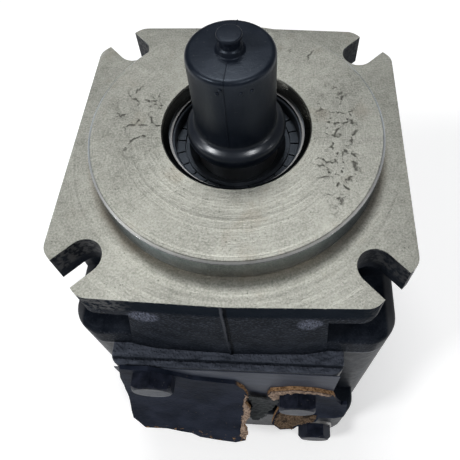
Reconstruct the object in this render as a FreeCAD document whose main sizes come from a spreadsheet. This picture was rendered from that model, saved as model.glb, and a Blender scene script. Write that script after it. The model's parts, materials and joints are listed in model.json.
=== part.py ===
import FreeCAD, Part
import math
import os
import Sketcher
from types import SimpleNamespace

# Internal gear pump, standing on its rear face with the drive shaft up.
# Millimetres. The origin is on the shaft axis in the mounting face of the flange, +Z is
# the way the shaft points, and -Y is the side of the suction port.

drivingSizes = dict(
    # mounting flange, a square plate with cut corners and an open slot in each of them
    plateInset=0.5,
    plateStep=1.6,
    crownRise=1.6,
    cornerCut=18.4,
    cornerRound=8,
    plateThick=17.5,
    slotWall=9.86,
    slotWidth=15.2,
    pilotRadius=63.5,
    pilotHeight=12.7,
    pilotChamfer=1.2,
    # seal bore in the pilot
    sealWidth=11.5,
    sealDrop=6.9,
    sealThick=11.8,
    mouthFlare=2.9,
    mouthDepth=3.5,
    sealRoomWidth=6,
    sealRoomDepth=8,
    throatRoom=1,
    # front cover behind the flange
    armHalf=40,
    armFace=29,
    armStep=2.9,
    armSpreadLeft=8.5,
    armSpreadRight=3.5,
    pocketRound=10,
    shoulderDepth=50,
    shoulderThick=16,
    shoulderRound=3.5,
    bodyWall=16,
    frontWall=24,
    bodyCorner=14,
    # gear housing and rear cover
    housingThick=66,
    rearFloor=17,
    padCentre=-3.2,
    padMargin=14.1,
    padRise=10.5,
    padRound=6,
    padEdge=1.5,
    footLeftInset=24.5,
    footRightInset=8.5,
    footStep=5.5,
    footDrop=15,
    footRound=12,
    footEdge=3,
    backPadMargin=7.48,
    backPadRise=13,
    portWall=4.15,
    suctionRadius=19,
    suctionHalfWide=34.95,
    suctionHalfHigh=17.85,
    threadPlay=0.05,
    tappedDepth=15,
    pressureTappedDepth=17.5,
    pressureRadius=12.7,
    pressureHalfWide=28.57,
    pressureHalfHigh=13.88,
    pressureChamfer=1,
    pressureFloor=3,
    passageRadius=8,
    # gears
    gearModule=3.5,
    pinionTeeth=13,
    ringTeeth=19,
    profileShift=0.5,
    addendum=0.8,
    rootClearance=0.25,
    pressureAngle=20,
    flankPlay=0.04,
    ringWall=9.325,
    ringHoleRadius=3,
    runningGap=0.06,
    sidePlate=8,
    crescentEnd=6,
    crescentPinRadius=4,
    crescentPinHold=10,
    # drive shaft
    journalStep=0.825,
    collarStep=2,
    splineStep=2.4,
    splineDepth=2.1,
    splineTeeth=14,
    splineLength=39.6,
    splineChamfer=1.5,
    collarHeight=8,
    collarDepth=20,
    journalTail=8,
    journalChamfer=1.5,
    journalPlay=0.05,
    shaftEndRoom=4,
    # plain bearings, seals and dowels
    bushingWall=3,
    bushingLength=32,
    ringSealGap=1.6,
    ringSealWidth=2.6,
    ringSealDepth=2,
    plateSealGap=2,
    plateSealWidth=2,
    plateSealDepth=1.6,
    dowelRadius=5,
    dowelHold=10,
    dowelSideInset=8.5,
    dowelBackInset=10,
    # housing bolts
    boltArmInset=10,
    boltFrontInset=12,
    boltSideInset=12.3,
    boltRadius=5,
    boltPlay=0.5,
    boltHold=19,
    threadRoom=3,
    boltHeadRadius=8,
    boltHeadHeight=10,
    boltSocketHalf=4,
    boltSocketDepth=5,
    counterPlay=0.75,
    counterDepth=11,
    # shaft seal and its retaining ring
    sealRimWidth=2.3,
    sealFloorDrop=7.3,
    ribWidth=3.6,
    ribDrop=5.4,
    ribCount=24,
    ribSlot=0.7,
    lipOuterWidth=5.1,
    lipInnerWidth=3.5,
    lipDrop=5.7,
    lipPlay=0.05,
    lipEdgeDrop=8.8,
    springRadius=0.9,
    springWidth=2.6,
    retainWidth=1.1,
    retainThick=1.5,
    retainGroove=1.5,
    retainPlay=0.2,
    retainGap=16,
    retainEar=5,
    retainEarInset=3.2,
    # rubber cap over the shaft
    capWall=1.1,
    capPlay=0.3,
    capBaseWall=1.5,
    capBaseGap=2.2,
    capShoulder=1,
    capShoulderRound=2,
    capShoulderFoot=0.7,
    capEdge=2.3,
    capNubRadius=4.7,
    capNubWaist=4,
    capNubFoot=2,
    capNubDisc=1.6,
    capNubHeight=8,
    capNubRound=0.4,
    # blanking sheet and cover board on the suction port, their bolts, and the gauge plug
    sheetThick=0.4,
    sheetInset=2,
    sheetDrop=2,
    sheetTail=4,
    boardThick=1.9,
    boardCurlStart=8,
    boardCurlRadius=140,
    scrapCurlStart=0.5,
    scrapFootGap=0.6,
    tearSteps=35,
    coverBoltRadius=5.95,
    coverBoltPlay=0.35,
    coverHeadFlats=9.4,
    coverHeadHeight=7.3,
    coverBoltLength=16,
    plugInset=21,
    plugRise=20,
    plugRadius=7,
    plugLength=12,
    plugRoom=2,
    plugHeadFlats=8.5,
    plugHeadHeight=7.5,
    plugRingThick=1.5,
    plugRingRadius=10.5,
)


# A size that knows both its number and the formula that binds it to the sheet.
class Size:
    def __init__(self, number, text):
        self.number = float(number)
        self.text = text

    def __float__(self):
        return self.number

    def __add__(self, other):
        return Size(self.number + float(other), "(%s + %s)" % (self.text, formula(other)))

    def __sub__(self, other):
        return Size(self.number - float(other), "(%s - %s)" % (self.text, formula(other)))

    def __mul__(self, other):
        return Size(self.number * float(other), "(%s * %s)" % (self.text, formula(other)))

    def __truediv__(self, other):
        return Size(self.number / float(other), "(%s / %s)" % (self.text, formula(other)))

    def __neg__(self):
        return Size(-self.number, "(-%s)" % self.text)

    def __rsub__(self, other):
        return -self + other

    __radd__ = __add__
    __rmul__ = __mul__


def formula(value):
    return value.text if isinstance(value, Size) else repr(float(value))


doc = FreeCAD.newDocument("Pump")
sheet = doc.addObject("Spreadsheet::Sheet", "sizes")
for row, (alias, number) in enumerate(drivingSizes.items(), 1):
    sheet.set("A%d" % row, alias)
    sheet.set("B%d" % row, str(number))
    sheet.setAlias("B%d" % row, alias)
doc.recompute()
size = SimpleNamespace(**{alias: Size(sheet.get(alias), "sizes." + alias) for alias in drivingSizes})
pieces = []


# Gear geometry. The ring gear's axis lies beside the shaft's by the centre distance.
pinionPitch = size.gearModule * size.pinionTeeth / 2
ringPitch = size.gearModule * size.ringTeeth / 2
centreDistance = ringPitch - pinionPitch
ringAxis = -centreDistance
pinionTip = pinionPitch + size.gearModule * (size.addendum + size.profileShift)
pinionRoot = pinionPitch - size.gearModule * (size.addendum + size.rootClearance - size.profileShift)
ringTip = ringPitch - size.gearModule * (size.addendum - size.profileShift)
ringRoot = ringPitch + size.gearModule * (size.addendum + size.rootClearance + size.profileShift)
ringRadius = ringRoot + size.ringWall
crescentPin = -(pinionTip + ringTip + centreDistance) / 2

# The castings stand round the ring gear, and the flange is set by them and by its pilot.
bodyHalf = ringRadius + centreDistance + size.bodyWall
bodyFront = ringRadius + size.frontWall
plateHalf = bodyHalf - size.plateInset
plateEdge = bodyFront + size.plateStep
plateCrown = plateEdge + size.crownRise
cornerSum = plateHalf + plateEdge - size.cornerCut
slotPitch = (size.pilotRadius + size.slotWidth / 2 + size.slotWall) * math.sqrt(0.5)
padFront = bodyFront + size.padRise
footFront = padFront + size.footStep
footLeft = bodyHalf - size.footLeftInset
footRight = bodyHalf - size.footRightInset
backPadFace = bodyFront + size.backPadRise

# Levels along the shaft, measured from the mounting face.
jointFront = -(size.shoulderDepth + size.shoulderThick)
jointRear = jointFront - size.housingThick
gearTop = jointFront - size.sidePlate
gearBottom = jointRear + size.sidePlate
sealTop = size.pilotHeight - size.sealDrop
sealBottom = sealTop - size.sealThick
capFoot = sealTop + size.capBaseGap
collarTop = capFoot + size.collarHeight
shaftReach = collarTop + size.splineLength
capTop = shaftReach + size.capPlay + size.capWall
journalEnd = jointRear - size.bushingLength - size.journalTail
shaftWell = journalEnd - size.shaftEndRoom
rearFace = shaftWell - size.rearFloor

# Round parts about the shaft, each fitted to the one inside it.
journalRadius = pinionRoot - size.journalStep
collarRadius = journalRadius - size.collarStep
splineRadius = collarRadius - size.splineStep
splineRoot = splineRadius - size.splineDepth
bushingRadius = journalRadius + size.bushingWall
throatRadius = journalRadius + size.throatRoom
sealRadius = collarRadius + size.sealWidth
sealRoomRadius = collarRadius + size.sealRoomWidth
retainInner = sealRadius - size.retainWidth
retainGrooveRadius = sealRadius + size.retainGroove

# Ports. The suction port hangs below the front joint by the room that its upper screws need.
tappedRadius = size.coverBoltRadius + size.threadPlay
portDrop = size.suctionHalfHigh + tappedRadius + size.portWall
portLevel = jointFront - portDrop
padHalf = size.suctionHalfWide + size.coverBoltRadius + size.padMargin
backPadHalf = size.pressureHalfWide + size.coverBoltRadius + size.backPadMargin


def bind(thing, **links):
    for path, value in links.items():
        thing.setExpression(path, formula(value))


def place(thing, x=0, y=0, z=0):
    for axis, value in (("x", x), ("y", y), ("z", z)):
        thing.setExpression("Placement.Base." + axis, formula(value))
    return thing


def box(name, x, y, z):
    thing = doc.addObject("Part::Box", name)
    bind(thing, Length=x[1] - x[0], Width=y[1] - y[0], Height=z[1] - z[0])
    return place(thing, x[0], y[0], z[0])


def cylinder(name, radius, z, x=0, y=0):
    thing = doc.addObject("Part::Cylinder", name)
    bind(thing, Radius=radius, Height=z[1] - z[0])
    return place(thing, x, y, z[0])


# A cylinder along Y, from one Y to a larger one.
def crossCylinder(name, radius, y, x, z):
    thing = doc.addObject("Part::Cylinder", name)
    thing.Placement.Rotation = FreeCAD.Rotation(FreeCAD.Vector(1, 0, 0), -90)
    bind(thing, Radius=radius, Height=y[1] - y[0])
    return place(thing, x, y[0], z)


def crossCone(name, radii, y, x, z):
    thing = doc.addObject("Part::Cone", name)
    thing.Placement.Rotation = FreeCAD.Rotation(FreeCAD.Vector(1, 0, 0), -90)
    bind(thing, Radius1=radii[0], Radius2=radii[1], Height=y[1] - y[0])
    return place(thing, x, y[0], z)


# A hexagonal prism along Y, with a corner or a flat upwards, made from its half width.
def crossHexagon(name, flats, y, x, z, cornerUp):
    thing = doc.addObject("Part::Prism", name)
    turn = 0 if cornerUp else 30
    thing.Polygon = 6
    thing.Placement.Rotation = FreeCAD.Rotation(FreeCAD.Vector(1, 0, 0), -90) * \
        FreeCAD.Rotation(FreeCAD.Vector(0, 0, 1), turn + 90)
    bind(thing, Circumradius=flats / math.cos(math.pi / 6), Height=y[1] - y[0])
    return place(thing, x, y[0], z)


def fuse(name, *parts):
    thing = doc.addObject("Part::MultiFuse", name)
    thing.Shapes = list(parts)
    thing.Refine = True
    return thing


def group(name, *parts):
    thing = doc.addObject("Part::Compound", name)
    thing.Links = list(parts)
    return thing


def common(name, *parts):
    thing = doc.addObject("Part::MultiCommon", name)
    thing.Shapes = list(parts)
    return thing


def cut(name, base, *tools):
    thing = doc.addObject("Part::Cut", name)
    thing.Base = base
    thing.Tool = tools[0] if len(tools) == 1 else group(name + "_tools", *tools)
    return thing


# Rounds or chamfers the edges that a test picks.
def soften(name, base, amount, picks, kind="Part::Fillet"):
    doc.recompute()
    thing = doc.addObject(kind, name)
    thing.Base = base
    chosen = [i for i, edge in enumerate(base.Shape.Edges, 1) if picks(edge)]
    thing.Edges = [(i, float(amount), float(amount)) for i in chosen]
    return thing


def near(a, b, slack=0.01):
    return abs(float(a) - float(b)) < slack


def upright(edge):
    a, b = edge.Vertexes[0].Point, edge.Vertexes[-1].Point
    return near(a.x, b.x) and near(a.y, b.y) and not near(a.z, b.z)


def middle(edge):
    return edge.valueAt((edge.FirstParameter + edge.LastParameter) / 2)


# The steep edges where a front or back arm meets a side arm.
def insideCorner(edge):
    ends = [v.Point for v in edge.Vertexes]
    widest = float(size.armHalf) + max(float(size.armSpreadLeft), float(size.armSpreadRight))
    return edge.BoundBox.ZLength > 1 and all(
        near(abs(p.y), size.armHalf) and abs(p.x) < widest + 0.01 for p in ends)


# A closed outline of straight lines, each corner bound to the sheet.
def outline(body, name, plane, corners, level=0):
    sketch = body.newObject("Sketcher::SketchObject", name)
    flat = [f for f in body.Origin.OriginFeatures if f.Role == plane][0]
    sketch.AttachmentSupport = [(flat, "")]
    sketch.MapMode = "FlatFace"
    sketch.setExpression("AttachmentOffset.Base.z", formula(level))
    count = len(corners)
    spots = [FreeCAD.Vector(float(u), float(v), 0) for u, v in corners]
    for i in range(count):
        sketch.addGeometry(Part.LineSegment(spots[i], spots[(i + 1) % count]), False)
    for i in range(count):
        sketch.addConstraint(Sketcher.Constraint("Coincident", i, 2, (i + 1) % count, 1))
    for i, corner in enumerate(corners):
        for kind, value in zip(("DistanceX", "DistanceY"), corner):
            number = sketch.addConstraint(Sketcher.Constraint(kind, -1, 1, i, 1, float(value)))
            sketch.setExpression("Constraints[%d]" % number, formula(value))
    return sketch


# A body turned about the Z axis from (radius, height) corners.
def turned(name, corners, x=0, y=0):
    body = doc.addObject("PartDesign::Body", name)
    sketch = outline(body, name + "_profile", "XZ_Plane", corners)
    turn = body.newObject("PartDesign::Revolution", name + "_turn")
    turn.Profile = sketch
    turn.ReferenceAxis = (sketch, ["V_Axis"])
    turn.Angle = 360
    return place(body, x, y)


# A body padded upwards from an outline in plan.
def padded(name, corners, z):
    body = doc.addObject("PartDesign::Body", name)
    sketch = outline(body, name + "_profile", "XY_Plane", corners, z[0])
    pad = body.newObject("PartDesign::Pad", name + "_pad")
    pad.Profile = sketch
    bind(pad, Length=z[1] - z[0])
    return body


def shaped(name, shape):
    thing = doc.addObject("Part::Feature", name)
    thing.Shape = shape
    return thing


def keep(name, thing):
    thing.Label = name
    pieces.append(thing)
    return thing


# The square pattern of four corners, and the eight bolts beside the arms.
fourWays = [(1, 1), (-1, 1), (-1, -1), (1, -1)]
boltNear = size.armHalf - size.boltArmInset
boltFar = bodyFront - size.boltFrontInset
boltSide = bodyHalf - size.boltSideInset
boltSpots = [(boltNear * sx, boltFar * sy) for sx, sy in fourWays]
boltSpots += [(boltSide * sx, boltNear * sy) for sx, sy in fourWays]


def boltCylinders(name, radius, z):
    return [cylinder("%s_%d" % (name, i), radius, z, x, y) for i, (x, y) in enumerate(boltSpots, 1)]


# The block section that the shoulder, the gear housing and the rear cover share.
def castBlock(name, z):
    block = box(name + "_block", (-bodyHalf, bodyHalf), (-bodyFront, bodyFront), z)
    return soften(name + "_rounded", block, size.bodyCorner, upright)


# An arm behind the flange: the plate's bowed edge carried down, widening towards the shoulder,
# with a facet beside each end. side is -1 for the front and 1 for the back.
def arm(name, side):
    half, face = size.armHalf, size.armFace
    left, right = size.armSpreadLeft, size.armSpreadRight
    slope = size.crownRise / (cornerSum - plateEdge)
    step = plateCrown - size.armStep
    plan = [(-(half + left), 0), (half + right, 0), (half + right, step),
            (face + right, plateCrown - slope * (face + right)), (0, plateCrown),
            (-(face + left), plateCrown - slope * (face + left)), (-(half + left), step)]
    body = padded(name + "_plan", [(x, y * side) for x, y in plan], (jointFront, -size.plateThick))
    sides = doc.addObject("Part::Wedge", name + "_sides")
    sides.Placement.Rotation = FreeCAD.Rotation(FreeCAD.Vector(1, 0, 0), 90)
    bind(sides, Xmin=-(half + left), Xmax=half + right, X2min=-half, X2max=half,
         Ymin=jointFront, Ymax=-size.plateThick, Zmin=-cornerSum, Z2min=-cornerSum,
         Zmax=cornerSum, Z2max=cornerSum)
    return common(name, body, sides)


# A raised pad on the side of a casting, with rounded corners and a softened top edge.
def sidePad(name, x, y, z, corner, edge):
    pad = box(name + "_box", x, y, z)
    front = y[0] if float(y[0]) < 0 else y[1]
    pad = soften(name + "_corners", pad, corner, lambda e: upright(e) and near(middle(e).y, front))
    return soften(name, pad, edge, lambda e: near(e.BoundBox.ZLength, 0) and near(middle(e).z, z[1])
                  and abs(middle(e).y) > 1)


def portPad(name, z, edge):
    reach = size.padCentre - padHalf, size.padCentre + padHalf
    return sidePad(name, reach, (-padFront, 0), z, size.padRound, edge)


def dowelHoles(name, joint):
    z = joint - size.dowelHold, joint + size.dowelHold
    side = cylinder(name + "_side", size.dowelRadius, z, bodyHalf - size.dowelSideInset, 0)
    back = cylinder(name + "_back", size.dowelRadius, z, 0, bodyFront - size.dowelBackInset)
    return [side, back]


# Front cover: flange, pilot, arms and shoulder in one casting.
def frontCover():
    x, y, edge = plateHalf, plateEdge, cornerSum
    half = [(0, plateCrown), (edge - y, y), (x, edge - x)]
    right = half + [(u, -v) for u, v in reversed(half)]
    around = right + [(-u, v) for u, v in reversed(right[1:-1])]
    plate = padded("front_cover_plate", around, (-size.plateThick, 0))
    plate = soften("front_cover_corners", plate, size.cornerRound,
                   lambda e: upright(e) and abs(middle(e).x) > float(size.armHalf))
    cross = fuse("front_cover_cross", arm("front_cover_front_arm", -1), arm("front_cover_back_arm", 1),
                 box("front_cover_side_arm", (-plateHalf, plateHalf),
                     (-size.armHalf, size.armHalf), (jointFront, -size.plateThick)))
    cross = soften("front_cover_inner_corners", cross, size.pocketRound, insideCorner)
    shoulder = castBlock("front_cover_shoulder", (jointFront, -size.shoulderDepth))
    shoulder = soften("front_cover_shoulder_edge", shoulder, size.shoulderRound,
                      lambda e: near(middle(e).z, -size.shoulderDepth) and near(e.BoundBox.ZLength, 0))
    body = fuse("front_cover_casting", plate, cross, shoulder)
    pilot = turned("front_cover_pilot", [
        (0, -1), (size.pilotRadius, -1), (size.pilotRadius, size.pilotHeight - size.pilotChamfer),
        (size.pilotRadius - size.pilotChamfer, size.pilotHeight), (0, size.pilotHeight)])
    mouth = size.pilotHeight - size.mouthDepth
    grooveTop = sealTop + size.retainThick + 0.1
    bores = turned("front_cover_bores", [
        (0, size.pilotHeight + 1), (sealRadius + size.mouthFlare, size.pilotHeight + 1),
        (sealRadius + size.mouthFlare, size.pilotHeight), (sealRadius, mouth),
        (sealRadius, grooveTop), (retainGrooveRadius, grooveTop),
        (retainGrooveRadius, sealTop), (sealRadius, sealTop),
        (sealRadius, sealBottom), (sealRoomRadius, sealBottom),
        (sealRoomRadius, sealBottom - size.sealRoomDepth), (throatRadius, sealBottom - size.sealRoomDepth),
        (throatRadius, jointFront + size.bushingLength),
        (bushingRadius, jointFront + size.bushingLength),
        (bushingRadius, jointFront - 1), (0, jointFront - 1)])
    slots = []
    for i, (sx, sy) in enumerate(fourWays):
        end = cylinder("slot_end_%d" % i, size.slotWidth / 2, (-size.plateThick - 1, 1),
                       slotPitch * sx, slotPitch * sy)
        run = box("slot_run_%d" % i, (0, plateHalf), (-size.slotWidth / 2, size.slotWidth / 2),
                  (-size.plateThick - 1, 1))
        angle = math.degrees(math.atan2(sy, sx))
        run.Placement.Rotation = FreeCAD.Rotation(FreeCAD.Vector(0, 0, 1), angle)
        across = size.slotWidth / 2 * math.sqrt(0.5)
        place(run, slotPitch * sx + across * sy, slotPitch * sy - across * sx,
              -size.plateThick - 1)
        slots += [end, run]
    threads = boltCylinders("front_thread", size.boltRadius + size.threadPlay,
                            (jointFront - 1, jointFront + size.boltHold + size.threadRoom))
    pinHole = cylinder("front_pin_hole", size.crescentPinRadius,
                       (jointFront - 1, jointFront + size.crescentPinHold), crescentPin)
    solid = fuse("front_cover_solid", body, pilot)
    keep("front_cover", cut("front_cover", solid, bores, pinHole, ringGroove("front_groove", jointFront, 1),
                            plateGroove("front_plate_groove", jointFront, 1),
                            *slots, *threads, *dowelHoles("front_cover_dowel", jointFront)))


# Seal grooves in a cover's joint face, going into the cover on the side that up names.
def ringGroove(name, joint, up):
    inner = ringRadius + size.ringSealGap
    return turned(name, seatRing(inner, size.ringSealWidth, joint, size.ringSealDepth * up), ringAxis)


def plateGroove(name, joint, up):
    inner = bushingRadius + size.plateSealGap
    return turned(name, seatRing(inner, size.plateSealWidth, joint, size.plateSealDepth * up))


def seatRing(inner, width, joint, depth):
    outer = inner + width
    return [(inner, joint), (outer, joint), (outer, joint + depth), (inner, joint + depth)]


def gearHousing():
    z = jointRear, jointFront
    back = sidePad("gear_housing_back_pad", (size.padCentre - backPadHalf, size.padCentre + backPadHalf),
                   (0, backPadFace), (portLevel - portDrop, jointFront), size.padRound, size.padEdge)
    casting = fuse("gear_housing_casting", castBlock("gear_housing", z),
                   portPad("gear_housing_pad", z, size.padEdge), back)
    bore = cylinder("gear_housing_bore", ringRadius + size.runningGap,
                    (jointRear - 1, jointFront + 1), ringAxis)
    suction = crossCylinder("suction_port", size.suctionRadius, (-padFront - 1, 0), size.padCentre, portLevel)
    pressure = crossCylinder("pressure_port", size.pressureRadius,
                             (ringRadius + size.pressureFloor, backPadFace + 1), size.padCentre, portLevel)
    passage = crossCylinder("pressure_passage", size.passageRadius, (0, backPadFace),
                            size.padCentre, portLevel)
    lead = crossCone("pressure_lead", (size.pressureRadius, size.pressureRadius + size.pressureChamfer),
                     (backPadFace - size.pressureChamfer, backPadFace), size.padCentre, portLevel)
    threads = []
    for i, (sx, sz) in enumerate(fourWays):
        threads.append(crossCylinder("suction_thread_%d" % i, tappedRadius,
                                     (-padFront - 1, size.tappedDepth - padFront),
                                     size.padCentre + size.suctionHalfWide * sx,
                                     portLevel + size.suctionHalfHigh * sz))
        threads.append(crossCylinder("pressure_thread_%d" % i, tappedRadius,
                                     (backPadFace - size.pressureTappedDepth, backPadFace + 1),
                                     size.padCentre + size.pressureHalfWide * sx,
                                     portLevel + size.pressureHalfHigh * sz))
    bolts = boltCylinders("housing_bolt_hole", size.boltRadius + size.boltPlay,
                          (jointRear - 1, jointFront + 1))
    dowels = dowelHoles("gear_housing_front_dowel", jointFront)
    dowels += dowelHoles("gear_housing_rear_dowel", jointRear)
    keep("gear_housing", cut("gear_housing", casting, bore, suction, pressure, passage, lead,
                             *threads, *bolts, *dowels))


plugSide = footRight - size.plugInset
plugLevel = rearFace + size.plugRise


# Rear cover, with a wider foot that carries the gauge plug.
def rearCover():
    z = rearFace, jointRear
    foot = sidePad("rear_cover_foot", (-footLeft, footRight), (-footFront, 0),
                   (rearFace, jointRear - size.footDrop), size.footRound, size.footEdge)
    casting = fuse("rear_cover_casting", castBlock("rear_cover", z), portPad("rear_cover_pad", z, 0.5), foot)
    casting = soften("rear_cover_rim", casting, 1,
                     lambda e: near(middle(e).z, rearFace) and near(e.BoundBox.ZLength, 0), "Part::Chamfer")
    bores = turned("rear_cover_bores", [
        (0, jointRear + 1), (bushingRadius, jointRear + 1),
        (bushingRadius, jointRear - size.bushingLength),
        (throatRadius, jointRear - size.bushingLength), (throatRadius, shaftWell), (0, shaftWell)])
    bolts = boltCylinders("rear_bolt_hole", size.boltRadius + size.boltPlay, (rearFace - 1, jointRear + 1))
    counters = boltCylinders("rear_counterbore", size.boltHeadRadius + size.counterPlay,
                             (rearFace - 1, rearFace + size.counterDepth))
    pinHole = cylinder("rear_pin_hole", size.crescentPinRadius,
                       (jointRear - size.crescentPinHold, jointRear + 1), crescentPin)
    plug = crossCylinder("gauge_port", size.plugRadius + size.threadPlay,
                         (-footFront - 1, size.plugLength + size.plugRoom - footFront),
                         plugSide, plugLevel)
    keep("rear_cover", cut("rear_cover", casting, bores, pinHole, plug,
                           ringGroove("rear_groove", jointRear, -1),
                           plateGroove("rear_plate_groove", jointRear, -1),
                           *bolts, *counters, *dowelHoles("rear_cover_dowel", jointRear)))


# Half the angle of an involute tooth, or of the space between teeth of a ring, at a radius.
def flankAngle(teeth, radius, play):
    pitch = float(size.gearModule) * float(teeth) / 2
    slope = math.radians(float(size.pressureAngle))
    atRadius = math.acos(min(1, pitch * math.cos(slope) / radius))
    involute = math.tan(slope) - slope - math.tan(atRadius) + atRadius
    shift = 2 * float(size.profileShift) * math.tan(slope)
    return (math.pi / 2 + shift) / float(teeth) + involute + play / pitch


def polar(radius, angle):
    return FreeCAD.Vector(radius * math.cos(angle), radius * math.sin(angle), 0)


# The face inside a toothed outline: involute flanks as curves, tips and roots as arcs.
def toothedFace(teeth, flankStart, flankEnd, rootRadius, play):
    steps = 5
    teeth = int(float(teeth))
    radii = [flankStart + (flankEnd - flankStart) * i / steps for i in range(steps + 1)]
    angles = [flankAngle(teeth, r, play) for r in radii]
    pitchAngle = 2 * math.pi / teeth
    edges = []
    for tooth in range(teeth):
        centre = pitchAngle * tooth
        rising = [polar(r, centre - a) for r, a in zip(radii, angles)]
        falling = [polar(r, centre + a) for r, a in zip(radii, angles)]
        falling.reverse()
        nextStart = polar(radii[0], centre + pitchAngle - angles[0])
        for points in (rising, falling):
            curve = Part.BSplineCurve()
            curve.interpolate(points)
            edges.append(curve.toShape())
        edges.append(Part.Arc(rising[-1], polar(flankEnd, centre), falling[0]).toShape())
        turn = centre + pitchAngle / 2
        if rootRadius < flankStart - 0.001:
            low = polar(rootRadius, centre + angles[0])
            high = polar(rootRadius, centre + pitchAngle - angles[0])
            edges.append(Part.makeLine(falling[-1], low))
            edges.append(Part.Arc(low, polar(rootRadius, turn), high).toShape())
            edges.append(Part.makeLine(high, nextStart))
        else:
            edges.append(Part.Arc(falling[-1], polar(flankStart, turn), nextStart).toShape())
    return Part.Face(Part.Wire(Part.__sortEdges__(edges)))


def prism(face, low, high):
    shape = face.extrude(FreeCAD.Vector(0, 0, float(high) - float(low)))
    shape.translate(FreeCAD.Vector(0, 0, float(low)))
    return shape


def baseRadius(teeth):
    return float(size.gearModule) * float(teeth) / 2 * math.cos(math.radians(float(size.pressureAngle)))


# Drive shaft with its pinion cut from the same bar, and the spline at its end.
def pinionShaft():
    start = max(baseRadius(size.pinionTeeth), float(pinionRoot))
    face = toothedFace(size.pinionTeeth, start, float(pinionTip), float(pinionRoot), -float(size.flankPlay))
    pinion = prism(face, gearBottom + size.runningGap, gearTop - size.runningGap)
    c = size.journalChamfer
    journal = turned("pinion_shaft_bar", [
        (0, journalEnd), (journalRadius - c, journalEnd),
        (journalRadius, journalEnd + c), (journalRadius, -size.collarDepth),
        (collarRadius, -size.collarDepth), (collarRadius, collarTop - c),
        (collarRadius - c, collarTop), (0, collarTop)])
    keep("pinion_shaft", fuse("pinion_shaft", journal, shaped("pinion_shaft_teeth", pinion), splineEnd()))


def splineEnd():
    teeth = int(float(size.splineTeeth))
    step = 2 * math.pi / teeth
    tip, root = float(splineRadius), float(splineRoot)
    tipHalf, rootHalf = step * 0.16, step * 0.34
    edges = []
    for tooth in range(teeth):
        centre = step * tooth
        a, b = polar(root, centre - rootHalf), polar(tip, centre - tipHalf)
        c, d = polar(tip, centre + tipHalf), polar(root, centre + rootHalf)
        after = polar(root, centre + step - rootHalf)
        edges.append(Part.makeLine(a, b))
        edges.append(Part.Arc(b, polar(tip, centre), c).toShape())
        edges.append(Part.makeLine(c, d))
        edges.append(Part.Arc(d, polar(root, centre + step / 2), after).toShape())
    teethShape = prism(Part.Face(Part.Wire(Part.__sortEdges__(edges))), collarTop, shaftReach)
    chamfer = float(size.splineChamfer)
    straight = float(shaftReach - collarTop) - chamfer
    limit = Part.makeCylinder(tip, straight, FreeCAD.Vector(0, 0, float(collarTop)))
    nose = Part.makeCone(tip, tip - chamfer, chamfer, FreeCAD.Vector(0, 0, float(shaftReach) - chamfer))
    return shaped("pinion_shaft_spline", teethShape.common(limit.fuse(nose)))


# Ring gear: internal teeth, and one radial oil hole through the bottom of each tooth space.
def ringGear():
    start = max(baseRadius(size.ringTeeth), float(ringTip))
    face = toothedFace(size.ringTeeth, start, float(ringRoot), start, float(size.flankPlay))
    low, high = gearBottom + size.runningGap, gearTop - size.runningGap
    blank = Part.makeCylinder(float(ringRadius), float(high - low), FreeCAD.Vector(0, 0, float(low)))
    ring = blank.cut(prism(face, low - 1, high + 1))
    holes = []
    teeth = int(float(size.ringTeeth))
    for tooth in range(teeth):
        across = polar(1, 2 * math.pi * tooth / teeth)
        foot = across * (float(ringRoot) - 1)
        foot.z = float(portLevel)
        holes.append(Part.makeCylinder(float(size.ringHoleRadius), float(ringRadius - ringRoot) + 2,
                                       foot, across))
    piece = shaped("ring_gear", ring.cut(holes))
    keep("ring_gear", place(piece, ringAxis))


# Crescent between pinion and ring gear, in two segments held by one pin.
def crescent():
    z = gearBottom, gearTop
    gap = size.runningGap
    outer = cylinder("crescent_outer_round", ringTip - gap, z, ringAxis)
    outerTool = cylinder("crescent_outer_tool", ringTip - gap, (gearBottom, gearTop), ringAxis)
    split = (ringTip + pinionTip) / 2
    splitRound = cylinder("crescent_split_round", split - gap / 2, z, ringAxis / 2)
    splitTool = cylinder("crescent_split_tool", split + gap / 2, (gearBottom - 1, gearTop + 1), ringAxis / 2)
    pinionRoom = cylinder("crescent_pinion_room", pinionTip + gap, (gearBottom - 1, gearTop + 1))
    endRooms = [box("crescent_end_%d" % i, (-size.crescentEnd, ringRadius),
                    (-ringRadius, ringRadius), (gearBottom - 1, gearTop + 1)) for i in (1, 2)]
    pinRooms = [cylinder("crescent_pin_room_%d" % i, size.crescentPinRadius,
                         (gearBottom - 1, gearTop + 1), crescentPin) for i in (1, 2)]
    inner = common("crescent_inner_blank", splitRound, outerTool)
    keep("crescent_inner", cut("crescent_inner", inner, pinionRoom, endRooms[0], pinRooms[0]))
    keep("crescent_outer", cut("crescent_outer", outer, splitTool, endRooms[1], pinRooms[1]))
    keep("crescent_pin", cylinder("crescent_pin", size.crescentPinRadius,
                                  (jointRear - size.crescentPinHold, jointFront + size.crescentPinHold),
                                  crescentPin))


def sidePlates():
    levels = {"front_side_plate": (gearTop, jointFront), "rear_side_plate": (jointRear, gearBottom)}
    for name, z in levels.items():
        disc = cylinder(name + "_disc", ringRadius, z, ringAxis)
        shaftRoom = cylinder(name + "_shaft_room", journalRadius + size.journalPlay, (z[0] - 1, z[1] + 1))
        pinRoom = cylinder(name + "_pin_room", size.crescentPinRadius, (z[0] - 1, z[1] + 1), crescentPin)
        keep(name, cut(name, disc, shaftRoom, pinRoom))


def bushings():
    inner, outer = journalRadius + size.journalPlay, bushingRadius
    for name, low in (("front_bushing", jointFront), ("rear_bushing", jointRear - size.bushingLength)):
        keep(name, turned(name, [(inner, low), (outer, low), (outer, low + size.bushingLength),
                                 (inner, low + size.bushingLength)]))


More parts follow.
